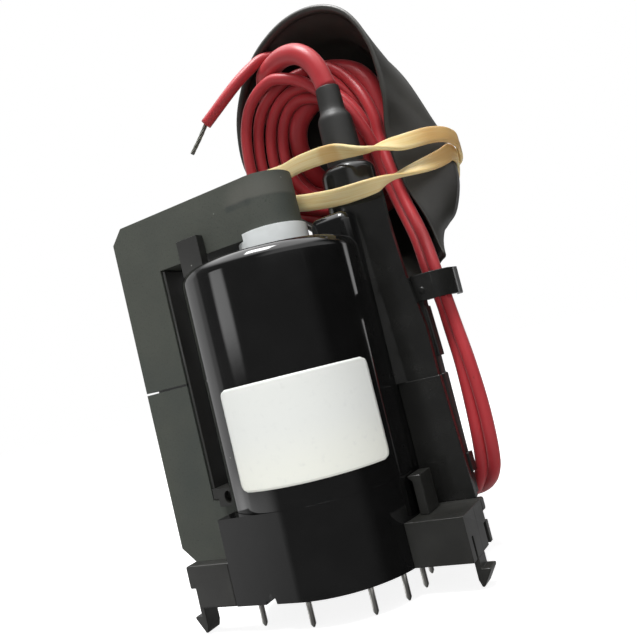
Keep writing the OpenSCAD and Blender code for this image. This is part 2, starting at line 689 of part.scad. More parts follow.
module focus_block() color(black) difference() {
    soft_box([focus_left, focus_front, focus_low], [focus_right, focus_front + focus_depth, focus_top],
        focus_round);
    at_case() cylinder(r = case_r, h = reach);
    tower_solid();
    tower_core(0);
    rear_box(-1);
}

// Knob on a round boss on the back of the focus block, at height z.
module knob(z) color(black) translate([(focus_left + focus_right) / 2, focus_front + focus_depth, z])
    rotate([-90, 0, 0]) difference() {
        union() {
            cylinder(d = boss_d, h = boss_l);
            cylinder(d = knob_d, h = boss_l + knob_l);
        }
        translate([-knob_d, -driver_w / 2, boss_l + knob_l - driver_h]) cube([2 * knob_d, driver_w,
            knob_l]);
    }

module label() color("white") intersection() {
    at_case() difference() {
        translate([0, 0, label_z]) cylinder(r = case_r + label_t, h = label_h);
        cylinder(r = case_r, h = reach);
    }
    at_case() linear_extrude(reach) polygon([[0, 0], for (i = [0:3])
        let(a = label_from + (label_to - label_from) * i / 3) 2 * case_d * [cos(a), sin(a)]]);
}

module lead_boot() color([0.2, 0.2, 0.2]) translate([tower_x, tower_y, tower_top]) {
    cylinder(r = boot_r, h = boot_wide_top - tower_top);
    translate([0, 0, boot_wide_top - tower_top]) cylinder(r1 = boot_r, r2 = sleeve_d / 2, h = boot_cone);
    cylinder(d = sleeve_d, h = sleeve_top - tower_top);
}

module hv_lead() color(red) tube(smooth_open(hv_route, 2), hv_d, 10, [0, 1, 0]);

module focus_lead() color(red)
    tube(smooth_open(pair_route(1), 2), lead_d, 8, [0, 1, 0]);

module screen_lead() color(red)
    tube(smooth_open(pair_route(-1), 2), lead_d, 8, [0, 1, 0]);

// Coiled leads as one oblong hank with round ends, standing on edge inside the cap.
module oblong(r) {
    for (z = [hank_low, hank_high]) translate([hank_x, z]) circle(r);
    translate([hank_x - r, hank_low]) square([2 * r, hank_high - hank_low]);
}
module lead_hank() color(red) translate([0, hank_front + hank_depth, 0]) rotate([90, 0, 0])
    linear_extrude(hank_depth) difference() {
        oblong(hank_r);
        oblong(hank_hole_r);
    }

module loose_end() color(red) tube(smooth_open(loose_route, 2), lead_d, 8, [0, 1, 0]);

module bare_wire() color("silver") tube(smooth_open(wire_route, 2), wire_d, 8, [0, 1, 0]);

// Rings of the cap's skin: straight from rim to waist, then a dome to the apex, moved in by `inset`.
function inward(p, c, inset) = p + inset * unit(c - p);
function cap_rings(inset) = let(rim = smooth_loop([for (p = cap_rim) inward(p, cap_middle, inset)], 2),
    waist = smooth_loop([for (p = cap_waist) inward(p, cap_core, inset)], 2),
    apex = inward(cap_apex, cap_core, inset),
    n = len(rim)) [for (i = [0:2]) for (j = [0:n - 1]) rim[j] + (waist[j] - rim[j]) * sin(i * 30),
    for (i = [0:4]) for (j = [0:n - 1])
        cap_core + (waist[j] - cap_core) * cos(i * 20) + (apex - cap_core) * sin(i * 20),
    apex];

module anode_cap() color([0.12, 0.12, 0.12]) {
    n = 2 * len(cap_rim);
    rows = 8;
    skin = n * rows;
    polyhedron(concat(cap_rings(0), cap_rings(cap_wall)), concat(
        [for (f = skin_faces(rows, n, false)) [f[0], f[2], f[1]]],
        [for (j = [0:n - 1]) [skin, skin - n + (j + 1) % n, skin - n + j]],
        [for (f = skin_faces(rows, n, false)) [for (k = f) k + skin + 1]],
        [for (j = [0:n - 1]) [2 * skin + 1, 2 * skin + 1 - n + j, 2 * skin + 1 - n + (j + 1) % n]],
        [for (j = [0:n - 1]) let(k = (j + 1) % n) each
            [[j, k, skin + 1 + k], [j, skin + 1 + k, skin + 1 + j]]]));
}

module anode_contact() color("silver") translate(contact_at)
    rotate([-90, 0, 0]) cylinder(d = contact_d, h = contact_t);

module rubber_band() color([0.85, 0.78, 0.58]) ribbon(smooth_loop(band_route, 3), band_w, band_t);

core_upper();
core_lower();
gap_spacer();
bobbin_tube();
case_body();
winding_compartment();
hv_tower();
tower_foot();
back_plate();
latch_upper();
latch_lower();
core_post();
core_cradle();
window_wall();
base_skirt();
base_lip();
side_block();
block_post();
rear_block();
cable_clip();
hook_left();
hook_right();
resin_fill();
pin(pin_angles[0], corner_pin_out);  // pin_01
pin(pin_angles[1], 0);  // pin_02
pin(pin_angles[2], 0);  // pin_03
pin(pin_angles[3], 0);  // pin_04
pin(pin_angles[4], 0);  // pin_05
pin(pin_angles[5], 0);  // pin_06
pin(pin_angles[6], 0);  // pin_07
pin(pin_angles[7], 0);  // pin_08
pin(pin_angles[8], 0);  // pin_09
pin(pin_angles[9], 0);  // pin_10
focus_block();
knob(focus_knob_z);  // focus_knob
knob(screen_knob_z);  // screen_knob
label();
lead_boot();
hv_lead();
focus_lead();
screen_lead();
lead_hank();
loose_end();
bare_wire();
anode_cap();
anode_contact();
rubber_band();
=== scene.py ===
"""Looks of a flyback transformer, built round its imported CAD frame. Lengths are written in millimetres."""

import json
from math import cos, pi, radians, sin, sqrt

import bmesh
import bpy
import numpy as np
from mathutils import Matrix, Vector


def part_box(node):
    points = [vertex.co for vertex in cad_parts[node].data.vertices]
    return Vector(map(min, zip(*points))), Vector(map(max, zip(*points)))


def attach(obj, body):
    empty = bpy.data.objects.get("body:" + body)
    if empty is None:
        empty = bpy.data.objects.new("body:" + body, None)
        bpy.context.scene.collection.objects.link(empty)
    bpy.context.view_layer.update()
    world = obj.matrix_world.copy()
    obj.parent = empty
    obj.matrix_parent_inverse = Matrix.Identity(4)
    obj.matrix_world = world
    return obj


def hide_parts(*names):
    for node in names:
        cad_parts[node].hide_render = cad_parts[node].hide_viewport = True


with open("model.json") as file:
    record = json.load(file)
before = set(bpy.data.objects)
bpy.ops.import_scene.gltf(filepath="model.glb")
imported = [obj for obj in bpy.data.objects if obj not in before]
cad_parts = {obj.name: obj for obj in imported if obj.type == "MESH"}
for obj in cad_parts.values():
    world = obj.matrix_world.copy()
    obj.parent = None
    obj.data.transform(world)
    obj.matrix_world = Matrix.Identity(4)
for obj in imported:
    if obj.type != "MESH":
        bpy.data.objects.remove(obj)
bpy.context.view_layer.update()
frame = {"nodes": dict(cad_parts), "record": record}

NODES = frame["nodes"]
MM = 0.001
BODY = "root"


def mm(points):
    return [Vector(p) * MM for p in points]


def linear(*rgb):
    """A colour written in 0-255 screen values, as a shader takes it."""
    return tuple((c / 255 / 12.92 if c <= 10 else ((c / 255 + 0.055) / 1.055) ** 2.4) for c in rgb)


# ---------------------------------------------------------------- camera

CAMERA_AT = (67.76, -116.35, 36.52)
CAMERA_ANGLES = (28.23, 3.93, 13.91)  # turned to the left, raised, and leaning, in degrees
CAMERA_LENS = 39.48


def make_camera():
    turn, rise, lean = (radians(a) for a in CAMERA_ANGLES)
    forward = Vector((-sin(turn) * cos(rise), cos(turn) * cos(rise), sin(rise)))
    right = Vector((cos(turn), sin(turn), 0))
    up = right.cross(forward)
    camera = bpy.data.objects.new("camera", bpy.data.cameras.new("camera"))
    bpy.context.scene.collection.objects.link(camera)
    across, above = cos(lean) * right - sin(lean) * up, sin(lean) * right + cos(lean) * up
    heading = Matrix((across, above, -forward)).transposed().to_4x4()
    camera.matrix_world = Matrix.Translation(Vector(CAMERA_AT) * MM) @ heading
    camera.data.sensor_width = 36
    camera.data.lens = CAMERA_LENS
    camera.data.clip_start, camera.data.clip_end = 0.005, 20
    bpy.context.scene.camera = camera


make_camera()


# ---------------------------------------------------------------- curves and tubes

def through(a, b, c, d, t):
    """The point a share t of the way from b to c, on a smooth curve that comes from a and goes on to d."""
    return 0.5 * (2 * b + (c - a) * t + (2 * a - 5 * b + 4 * c - d) * t * t + (3 * b - a - 3 * c + d) * t ** 3)


def smooth(points, steps, closed=False):
    """Points of a smooth curve through the given ones, as a numpy array."""
    p, n, out = np.array([tuple(q) for q in points], float), len(points), []
    for i in range(n if closed else n - 1):
        a, b, c, d = ((p[(i + k) % n] for k in (-1, 0, 1, 2)) if closed else
                      (p[min(max(i + k, 0), n - 1)] for k in (-1, 0, 1, 2)))
        out += [through(a, b, c, d, j / steps) for j in range(steps)]
    return np.array(out if closed else out + [p[-1]])


def even(points, step):
    """The same open line with its points an even step apart."""
    p = np.asarray(points, float)
    s = np.concatenate([[0], np.cumsum(np.linalg.norm(np.diff(p, axis=0), axis=1))])
    count = max(2, round(s[-1] / step)) + 1
    at = np.linspace(0, s[-1], count)
    return np.stack([np.interp(at, s, p[:, k]) for k in range(3)], 1)


def carried_frames(path):
    """Headings along a path, with a side direction carried along it without twisting."""
    p = np.asarray(path, float)
    ahead = np.roll(p, -1, 0) - np.roll(p, 1, 0)
    ahead[0], ahead[-1] = p[1] - p[0], p[-1] - p[-2]
    ahead /= np.linalg.norm(ahead, axis=1)[:, None]
    side = [np.cross(ahead[0], (0, 0, 1)) if abs(ahead[0][2]) < 0.9 else np.cross(ahead[0], (0, 1, 0))]
    for t in ahead[1:]:
        s = side[-1] - t * (side[-1] @ t)
        side.append(s / np.linalg.norm(s))
    side[0] = side[0] / np.linalg.norm(side[0])
    side = np.array(side)
    return ahead, side, np.cross(ahead, side)


def add(name, mesh, material):
    """Makes a piece of the object from a mesh, with its material."""
    piece = bpy.data.objects.new(name, mesh)
    bpy.context.scene.collection.objects.link(piece)
    mesh.materials.clear()
    mesh.materials.append(material)
    mesh.polygons.foreach_set("use_smooth", [True] * len(mesh.polygons))
    return piece


def grid_mesh(name, rings, closed_along=False, closed_round=True, caps=True):
    """A skin over rings of points, with its own map: along the rings, and round them."""
    rings = np.asarray(rings, float)
    rows, cols = rings.shape[:2]
    mesh = bpy.data.meshes.new(name)
    faces = []
    for i in range(rows if closed_along else rows - 1):
        here, there = i * cols, (i + 1) % rows * cols
        faces += [(here + j, here + (j + 1) % cols, there + (j + 1) % cols, there + j)
                  for j in range(cols if closed_round else cols - 1)]
    if caps and not closed_along and closed_round:
        faces += [tuple(range(cols))[::-1], tuple((rows - 1) * cols + j for j in range(cols))]
    mesh.from_pydata([tuple(v) for v in rings.reshape(-1, 3)], [], faces)
    along = np.concatenate([[0], np.cumsum(np.linalg.norm(np.diff(rings.mean(1), axis=0), axis=1))])
    along = np.append(along, along[-1] * rows / max(rows - 1, 1))
    uv = mesh.uv_layers.new(name="skin")
    for poly in mesh.polygons:
        for loop in poly.loop_indices:
            v = mesh.loops[loop].vertex_index
            i, j = v // cols, v % cols
            if poly.loop_total == 4 and closed_round and j == 0 and max(q % cols for q in poly.vertices) == cols - 1:
                j = cols
            uv.data[loop].uv = (along[i], j / cols)
    bm = bmesh.new()
    bm.from_mesh(mesh)
    bmesh.ops.recalc_face_normals(bm, faces=bm.faces)
    bm.to_mesh(mesh)
    bm.free()
    return mesh


END_SHARE, END_LENGTH = 0.88, 0.03 * MM


def tube(name, path, diameter, material, sides=20):
    """A cord of one diameter along a path, its ends narrowed a little over a short length."""
    ahead, side, over = carried_frames(path)
    angles = np.arange(sides) * 2 * pi / sides
    circle = np.cos(angles)[None, :, None] * side[:, None] + np.sin(angles)[None, :, None] * over[:, None]
    rings = np.asarray(path, float)[:, None] + diameter / 2 * circle
    first, last = rings[0].mean(0), rings[-1].mean(0)
    start = first + (rings[0] - first) * END_SHARE - ahead[0] * END_LENGTH
    stop = last + (rings[-1] - last) * END_SHARE + ahead[-1] * END_LENGTH
    rings = np.concatenate([[start], rings, [stop]])
    return add(name, grid_mesh(name, rings), material)


# ---------------------------------------------------------------- finishes

class Finish:
    """A material made up step by step from patterns in the piece's own space."""

    def __init__(self, name, colour, rough, metallic=0.0, ior=1.5, by_map=False):
        self.material = bpy.data.materials.new(name)
        self.material.use_nodes = True
        self.tree = self.material.node_tree
        self.shader = self.tree.nodes["Principled BSDF"]
        self.space = self.tree.nodes.new("ShaderNodeTexCoord")
        self.by_map = by_map
        self.colour, self.rough, self.bump = colour, rough, None
        self.shader.inputs["Metallic"].default_value = metallic
        self.shader.inputs["IOR"].default_value = ior

    def node(self, kind, **inputs):
        """A new node: _name=... sets a setting, i0=... feeds an input by number, and Name=... by name."""
        n = self.tree.nodes.new("ShaderNode" + kind)
        for key, value in inputs.items():
            if key.startswith("_"):
                setattr(n, key[1:], value)
        for key, value in inputs.items():
            if not key.startswith("_"):
                by_number = key[0] == "i" and key[1:].isdigit()
                self.feed(n.inputs[int(key[1:]) if by_number else key], value)
        return n

    def feed(self, socket, value):
        if isinstance(value, bpy.types.NodeSocket):
            self.tree.links.new(value, socket)
        elif socket.type == "RGBA":
            socket.default_value = (*value, 1)
        else:
            socket.default_value = value

    def place(self, stretch=(1, 1, 1), shift=(0, 0, 0), by_map=None):
        where = self.space.outputs["UV" if (self.by_map if by_map is None else by_map) else "Object"]
        return self.node("Mapping", Vector=where, Location=shift, Scale=stretch).outputs[0]

    def noise(self, scale, detail, stretch=(1, 1, 1), shift=(0, 0, 0), by_map=None):
        """Cloudy pattern from 0 to 1. The scale is in patches per metre, or per unit of the piece's own map."""
        return self.node("TexNoise", Vector=self.place(stretch, shift, by_map), Scale=scale, Detail=detail,
                         Roughness=0.55).outputs[0]

    def band(self, value, low, high, to_low=0.0, to_high=1.0):
        """Where a pattern lies between low and high, from 0 to 1, softly."""
        n = self.node("MapRange", _interpolation_type="SMOOTHSTEP", Value=value)
        for i, v in enumerate((low, high, to_low, to_high)):
            n.inputs[i + 1].default_value = v
        return n.outputs[0]

    def times(self, a, b):
        return self.node("Math", _operation="MULTIPLY", i0=a, i1=b).outputs[0]

    def specks(self, scale, size, share):
        """Small scattered specks, from 0 to 1, on a share of the cells of a pattern."""
        cell = self.node("TexVoronoi", Vector=self.place(), Scale=scale)
        near = self.band(cell.outputs["Distance"], size, size * 0.5)
        pick = self.node("SeparateColor", Color=cell.outputs["Color"]).outputs[0]
        return self.times(near, self.band(pick, 1 - share, 1.0001 - share))

    def height(self, axis, low, high):
        """How far along an axis of the object a point is, from 0 at low to 1 at high, given in millimetres."""
        split = self.node("SeparateXYZ", Vector=self.space.outputs["Object"])
        return self.band(split.outputs["XYZ".index(axis)], low * MM, high * MM)

    def near(self, centre, radius, fade=0.5):
        """1 within a radius of a point, given in millimetres, falling softly to 0."""
        off = self.node("VectorMath", _operation="DISTANCE", i0=self.space.outputs["Object"], i1=Vector(centre) * MM)
        return self.band(off.outputs["Value"], radius * MM, radius * fade * MM)

    def tint(self, mask, colour):
        """Goes over to another colour where the mask is 1."""
        n = self.node("Mix", _data_type="RGBA", _clamp_factor=True)
        self.feed(n.inputs[0], mask)
        self.feed(n.inputs[6], self.colour)
        self.feed(n.inputs[7], colour)
        self.colour = n.outputs[2]
        return self

    def rougher(self, mask, rough):
        """Goes over to another roughness where the mask is 1."""
        n = self.node("Mix", _data_type="FLOAT", _clamp_factor=True)
        self.feed(n.inputs[0], mask)
        self.feed(n.inputs[2], self.rough)
        self.feed(n.inputs[3], rough)
        self.rough = n.outputs[0]
        return self

    def relief(self, pattern, depth):
        """Raises the surface by the pattern, depth in millimetres."""
        n = self.node("Bump", Height=pattern)
        n.inputs["Distance"].default_value = depth * MM
        n.inputs["Strength"].default_value = 1.0
        if self.bump is not None:
            self.feed(n.inputs["Normal"], self.bump)
        self.bump = n.outputs[0]
        return self

    def set(self, **sockets):
        for key, value in sockets.items():
            self.shader.inputs[key.replace("__", " ")].default_value = value
        return self

    def done(self):
        """Connects everything and gives the material."""
        self.feed(self.shader.inputs["Base Color"], self.colour)
        self.feed(self.shader.inputs["Roughness"], self.rough)
        if self.bump is not None:
            self.feed(self.shader.inputs["Normal"], self.bump)
        return self.material


def moulded(name, colour, rough, orange_peel, dust=0.03, chip=None):
    """Moulded black plastic: slight waviness, cloudy gloss, handling marks, a little dust and pale burrs at a chip."""
    f = Finish(name, colour, rough, ior=1.52)
    f.rougher(f.band(f.noise(90, 4), 0.35, 0.75), rough * 1.5)
    f.rougher(f.band(f.noise(700, 2, stretch=(1, 1, 0.05)), 0.6, 0.75), rough * 1.8)
    f.tint(f.band(f.noise(160, 3), 0.4, 0.8), tuple(c * 1.5 for c in colour))
    f.relief(f.noise(260, 2), orange_peel)
    f.relief(f.noise(1800, 3), orange_peel * 0.15)
    if chip:
        f.tint(f.times(f.near(chip, 1.5, 0.3), f.band(f.noise(1300, 2), 0.5, 0.56)), linear(228, 228, 222))
    specks = f.specks(420, 0.09, dust)
    return f.tint(specks, linear(150, 150, 145)).rougher(specks, 0.8).done()


def ferrite_finish():
    """Sintered ferrite: matt, finely grained and a little dusty, with a painted highlight on the upper head over a
    painted shade crescent.
    """
    f = Finish("ferrite", linear(68, 71, 65), 0.66, ior=1.45)
    f.tint(f.band(f.noise(130, 5), 0.3, 0.75), linear(73, 76, 69))
    f.tint(f.band(f.noise(45, 3, shift=(3, 1, 2)), 0.45, 0.75), linear(63, 68, 64))
    f.tint(f.band(f.noise(2600, 3), 0.55, 0.75), linear(54, 58, 53))
    # The top of the head is painted paler: painted light from above.
    painted_lit_head = f.times(f.near((0, 0, 70), 9, 0.7), f.height("Z", 70.2, 70.8))
    f.tint(f.times(painted_lit_head, 0.75), linear(92, 92, 86))
    # A dark crescent below the head's top: painted shade where the lower part is set back.
    painted_shade_crescent = f.times(f.band(f.noise(300, 2), 0.3, 0.6, 0.5, 1),
                       f.times(f.height("Z", 69.2, 69.8), f.height("Z", 71.0, 70.3)))
    f.tint(f.times(painted_shade_crescent, f.times(f.height("X", -5.6, -4.8), f.height("X", 1.8, -0.2))), linear(57, 61, 58))
    f.relief(f.noise(1500, 4), 0.03).relief(f.noise(5200, 2), 0.012)
    return f.tint(f.specks(500, 0.12, 0.05), linear(108, 110, 104)).done()


def bobbin_finish():
    """White plastic, slightly cloudy, that lets a little light in."""
    f = Finish("bobbin_white", linear(236, 240, 240), 0.42)
    f.tint(f.band(f.noise(220, 3), 0.45, 0.8), linear(222, 226, 224))
    f.relief(f.noise(600, 3), 0.012)
    return f.set(**{"Subsurface__Weight": 0.15, "Subsurface__Radius": (0.001, 0.001, 0.001)}).done()


def label_finish():
    """Coated white paper, painted lighter and warmer towards the bottom as painted light, and a little smudged and
    rubbed at the left.
    """
    f = Finish("label_paper", linear(237, 239, 235), 0.44)
    # Lighter and warmer towards the bottom: painted light.
    f.tint(f.height("Z", 30, 20), linear(243, 244, 235))
    smudge = f.times(f.near((-14.5, -13.2, 31.5), 6.5, 0.35), f.band(f.noise(420, 5, stretch=(1, 1, 2.4)), 0.42, 0.68))
    f.tint(f.times(smudge, 0.55), linear(196, 198, 196))
    f.tint(f.times(f.band(f.noise(900, 4), 0.55, 0.8), 0.25), linear(214, 216, 214))
    f.rougher(f.band(f.noise(250, 3), 0.4, 0.7), 0.55)
    return f.relief(f.noise(2400, 3), 0.006).relief(f.noise(120, 2), 0.03).done()


def insulation_finish():
    """Red silicone insulation: a soft wide sheen, faint streaks along the lead and a few dark scuffs."""
    f = Finish("red_insulation", linear(180, 54, 59), 0.35, ior=1.45, by_map=True)
    f.tint(f.band(f.noise(1, 3, stretch=(60, 5, 1)), 0.3, 0.8), linear(170, 48, 55))
    f.tint(f.band(f.noise(1, 3, stretch=(900, 3, 1), shift=(7, 2, 0)), 0.7, 0.8), linear(150, 42, 48))
    f.rougher(f.band(f.noise(1, 4, stretch=(20, 9, 1)), 0.45, 0.7), 0.42)
    f.relief(f.noise(1, 3, stretch=(30, 6, 1)), 0.01).relief(f.noise(2600, 2, by_map=False), 0.003)
    dirt = f.band(f.noise(900, 4, by_map=False), 0.72, 0.8)
    f.tint(f.times(dirt, 0.6), linear(96, 30, 32))
    return f.set(**{"Subsurface__Weight": 0.12, "Subsurface__Radius": (0.0012, 0.0004, 0.0003),
                    "Sheen__Weight": 0.15, "Sheen__Roughness": 0.4}).done()


def rubber_finish(name, colour, rough, grain=0.02):
    """Dark rubber: cloudy, grained and a little dusty."""
    f = Finish(name, colour, rough, ior=1.48)
    f.tint(f.band(f.noise(70, 4), 0.4, 0.75), tuple(c * 1.45 for c in colour))
    f.rougher(f.band(f.noise(140, 4), 0.4, 0.7), min(0.9, rough * 1.25))
    f.relief(f.noise(900, 4), grain).relief(f.noise(3800, 2), grain * 0.3)
    specks = f.specks(380, 0.08, 0.03)
    return f.tint(specks, linear(120, 118, 112)).rougher(specks, 0.85).done()


def band_finish():
    """Cream rubber with fine grooves along it, amber near its fold, and darker amber at its far turn, partly the
    rubber's own tone and partly painted shade.
    """
    f = Finish("band_rubber", linear(224, 196, 136), 0.5, ior=1.45, by_map=True)
    groove = f.noise(1, 3, stretch=(55, 46, 1))
    f.tint(f.band(groove, 0.3, 0.62), linear(232, 214, 164))
    f.tint(f.times(f.band(f.noise(1, 4, stretch=(20, 3, 1), shift=(4, 4, 0)), 0.5, 0.75), 0.7), linear(214, 180, 112))
    f.tint(f.times(f.near((14, 5, 76.5), 3.5, 0.5), 0.5), linear(205, 152, 78))
    # Darker amber at the far turn: partly the rubber's amber tone, partly painted shade.
    f.tint(f.times(f.near((32, 18, 75), 10, 0.4), 0.75), linear(192, 146, 82))
    f.relief(groove, 0.07).relief(f.noise(2600, 2, by_map=False), 0.01)
    return f.set(**{"Subsurface__Weight": 0.3, "Subsurface__Radius": (0.002, 0.0013, 0.0006)}).done()


def tinned_finish(name, colour, rough, stretch=(1, 1, 1)):
    """Dull tinned metal, with patches that may be stretched along the piece."""
    f = Finish(name, colour, rough, metallic=1.0)
    f.tint(f.band(f.noise(900, 4, stretch=stretch), 0.4, 0.7), tuple(c * 0.7 for c in colour))
    f.rougher(f.band(f.noise(600, 3, stretch=stretch), 0.4, 0.7), rough * 1.6)
    return f.relief(f.noise(1500, 3, stretch=stretch), 0.02).done()


def plain_finish(name, colour, rough):
    """One colour with slight clouds and grain."""
    f = Finish(name, colour, rough)
    f.tint(f.band(f.noise(400, 3), 0.4, 0.7), tuple(c * 1.3 for c in colour))
    return f.relief(f.noise(1500, 3), 0.01).done()


CHIP_AT = (-6.4, -18.4, 0.8)
CASE = moulded("moulded_case", linear(14, 14, 14), 0.06, 0.006)
BASE = moulded("moulded_base", linear(36, 36, 34), 0.28, 0.015, 0.05, CHIP_AT)
TOWER = moulded("moulded_tower", linear(28, 28, 27), 0.15, 0.01, 0.05)
PLATE = moulded("moulded_plate", linear(30, 30, 29), 0.38, 0.01)
KNOB = moulded("knob_plastic", linear(46, 46, 46), 0.35, 0.02)
FERRITE = ferrite_finish()
FILM = plain_finish("spacer_film", linear(20, 20, 20), 0.4)
BOBBIN = bobbin_finish()
RESIN = moulded("potting_resin", linear(20, 20, 23), 0.2, 0.06, 0.04)
PINS = tinned_finish("tinned_pins", linear(205, 203, 198), 0.3, (1, 1, 0.15))
WIRE = tinned_finish("tinned_wire", linear(176, 176, 168), 0.5)
CONTACT = tinned_finish("contact_metal", linear(190, 190, 186), 0.3)
LABEL = label_finish()
RED = insulation_finish()
BOOT = rubber_finish("boot_rubber", linear(26, 26, 24), 0.5, 0.03)
CAP = rubber_finish("cap_rubber", linear(48, 47, 44), 0.34)
BAND = band_finish()

FINISH_OF = {"moulded_case": CASE, "moulded_base": BASE, "knob_plastic": KNOB, "ferrite": FERRITE, "spacer_film": FILM,
             "bobbin_white": BOBBIN, "potting_resin": RESIN, "tinned_pins": PINS, "tinned_wire": WIRE,
             "contact_metal": CONTACT, "label_paper": LABEL, "red_insulation": RED, "boot_rubber": BOOT,
             "cap_rubber": CAP, "band_rubber": BAND}
SLOT_OF = {s["node"]: s["material_slot"] for s in frame["record"]["subparts"]}

for node, thing in NODES.items():
    thing.data.materials.clear()
    thing.data.materials.append(FINISH_OF[SLOT_OF[node]])


# ---------------------------------------------------------------- cords

HV_D, LEAD_D, WIRE_D = 4.2 * MM, 2.4 * MM, 0.9 * MM
HALF_PAIR = 1.22  # from the middle line of the pair to the middle of one lead, in millimetres
CORD_STEP = 0.8 * MM

HV_ROUTE = [(14.1, 10.6, 90.6), (13.6, 10.4, 93.5), (12.9, 10.3, 95.9), (11.5, 10.3, 98.3), (9.1, 10.7, 100.3),
            (5.5, 12.2, 101.6), (1.8, 14, 101.7), (-2, 16.2, 100.9), (-4, 18.8, 98), (-4.8, 21, 93.6), (-5, 22.6, 87),
            (-4.4, 23, 80), (-1.4, 25, 73.6), (4.4, 27.4, 70.6), (11.4, 27.6, 70.4), (17.4, 23.6, 72.6),
            (19.8, 21.6, 81), (19.6, 21.4, 88), (17.8, 21.8, 93.8), (14.2, 22, 97.8), (9, 22.4, 100.4),
            (3.4, 22.8, 100.4), (-1.6, 24.4, 97.8), (-5.2, 26, 93), (-6, 27, 86), (-4, 27.4, 77), (1, 27.6, 71.4),
            (8, 28.4, 69.4), (15, 27.6, 71), (19.4, 26.6, 76.8), (19.8, 25.6, 85.4), (17, 24.6, 92.4),
            (11.2, 22.6, 95.4), (5.6, 19.9, 94.2), (1.6, 19.2, 91.2), (-0.8, 21, 86), (-0.6, 24, 79), (2, 27.6, 74),
            (7, 29.6, 71.6), (12.4, 30, 72.4), (16.8, 29.6, 75.2), (18.4, 29, 79.6), (17.2, 28.6, 83.6),
            (13.6, 28.3, 84.4), (11.6, 28.2, 80)]
TWIN_ROUTE = [(16.7, 21.5, 6.6), (18.7, 20, 5.8), (21.6, 17.6, 6.7), (24, 15, 8.6), (25.6, 13, 10.7),
              (26.5, 12, 12.9), (27.2, 11.2, 17.6), (27.4, 11.2, 24), (27.2, 11.4, 31.5), (26.5, 12, 38.4),
              (26, 12.2, 44), (25, 12.6, 50), (23.6, 14.8, 57), (21.2, 17, 65), (19.6, 18, 72)]
# How far the line across the pair is turned about the vertical, at each point of the route.
TWIN_TURN = [90, 84, 60, 24, 8, 0, -5, -15, -32, -41, -46, -34, -38, -38, -34]
SCREEN_COIL = [(18.2, 17.4, 78), (17.2, 16, 82.6), (15.3, 14.6, 87.2), (11, 14, 92.2), (7.9, 13, 95.4),
               (4.8, 12.4, 97.2), (1.4, 12.3, 98.2), (-2.3, 12.6, 97.3), (-5.8, 13, 94.8), (-8.1, 13.2, 90.2),
               (-9.1, 13.4, 84.8), (-9.4, 14, 79.8), (-8.6, 15.4, 74.6), (-5.4, 18.6, 71), (0.8, 22, 68.4),
               (7.6, 24, 68), (13.6, 22.4, 70), (17.4, 19.4, 74), (18.2, 18, 81), (16, 18, 87.4), (12.2, 17.6, 92.6),
               (7.4, 17, 96), (2.6, 17, 96.6), (-1.3, 17.1, 95.3), (-4.1, 17.1, 91.4), (-5.4, 17.2, 86),
               (-5.8, 17.5, 80), (-3.8, 20, 74), (1.6, 24, 70.6), (8.2, 26, 70.2), (13.8, 24, 72.8), (15.6, 20.4, 78),
               (15.4, 20.6, 85), (13, 22, 90.6)]
FOCUS_COIL = [(19.4, 18.6, 79.2), (19.4, 18.6, 84), (18.2, 19, 89), (16.2, 19.8, 93.3), (13.6, 19.9, 97),
              (10.4, 19.4, 99.4), (5.6, 18.4, 100), (1, 17.2, 99.2), (-3.2, 16.2, 97.2), (-6.2, 15.8, 92.6),
              (-7.6, 15.7, 86), (-8.1, 16, 80), (-6.4, 17.6, 73.2), (-0.8, 21, 70), (6.2, 24.8, 69.4),
              (12.6, 23.6, 71.4), (16.4, 19.2, 75.6), (16.2, 19.2, 83), (13.4, 18.8, 89.2), (8.8, 18.2, 93.6),
              (4, 18, 94.8), (0.4, 18.1, 93.8), (-1.8, 18.2, 90.6), (-3, 18.3, 85.4), (-3.5, 18.8, 80),
              (-1.6, 21.4, 73.8), (3.2, 25.4, 70.6), (9.4, 26.6, 70), (14, 24.6, 73.6), (16.6, 21.6, 81),
              (16.6, 21, 88), (14.6, 20.4, 93.4), (10.6, 19.2, 97.6), (8, 18.8, 101.6), (5, 18.4, 104),
              (1.9, 16.8, 104.8), (-0.3, 14.8, 104.2), (-2.8, 12.4, 102.9), (-5.4, 10.2, 100.5), (-8.9, 8.8, 97.3),
              (-12.1, 8.2, 95.1), (-14.3, 8, 93.8)]
WIRE_ROUTE = [(-14.3, 8, 93.8), (-16.6, 8, 91.6), (-19.6, 8, 89)]


def pair_route(side):
    """The route of one lead of the pair, to one side of the middle line."""
    return [(x + side * HALF_PAIR * cos(radians(a)), y + side * HALF_PAIR * sin(radians(a)), z)
            for (x, y, z), a in zip(TWIN_ROUTE, TWIN_TURN)]


CAP_RIM = [(20.7, 14, 105.5), (24.2, 14, 97.4), (24.8, 14.2, 86.8), (23.4, 14.6, 78), (24, 15, 67.8),
           (26.4, 15, 59.7), (27.5, 14.7, 54), (27.9, 14.5, 51.9), (26, 16.1, 51), (21.6, 18.5, 47.9),
           (12.4, 20, 50.4), (1, 18, 64), (-7, 16.5, 72.5), (-11.5, 15, 82.3), (-11.2, 14.8, 92.5),
           (-7.5, 14.5, 100.5), (-1.5, 14, 106.5), (6.5, 14, 110), (14.5, 14, 109.6)]
CAP_WAIST = [(20, 22, 101.5), (25.5, 22.5, 92.5), (29, 23, 82), (31, 23, 75), (31.6, 22.5, 67.5), (29.8, 21.5, 61),
             (27.4, 21.4, 58.6), (25.4, 21.6, 57), (23.6, 23.6, 55), (20, 27, 52.8), (12, 30, 57), (2, 31, 66),
             (-6, 29, 74), (-9.5, 27, 84), (-9, 26, 93), (-5, 25, 100), (1, 24, 105), (8, 23.5, 107.5),
             (15, 22.5, 106)]
CAP_APEX, CAP_MIDDLE, CAP_CORE = np.array((13, 37, 80.0)), np.array((9, 15, 81.0)), np.array((11, 25, 80.0))
CAP_WALL = 1.3


def inward(p, centre, inset):
    """Points moved a distance towards a centre."""
    way = centre - p
    return p + inset * way / np.linalg.norm(way, axis=-1, keepdims=True)


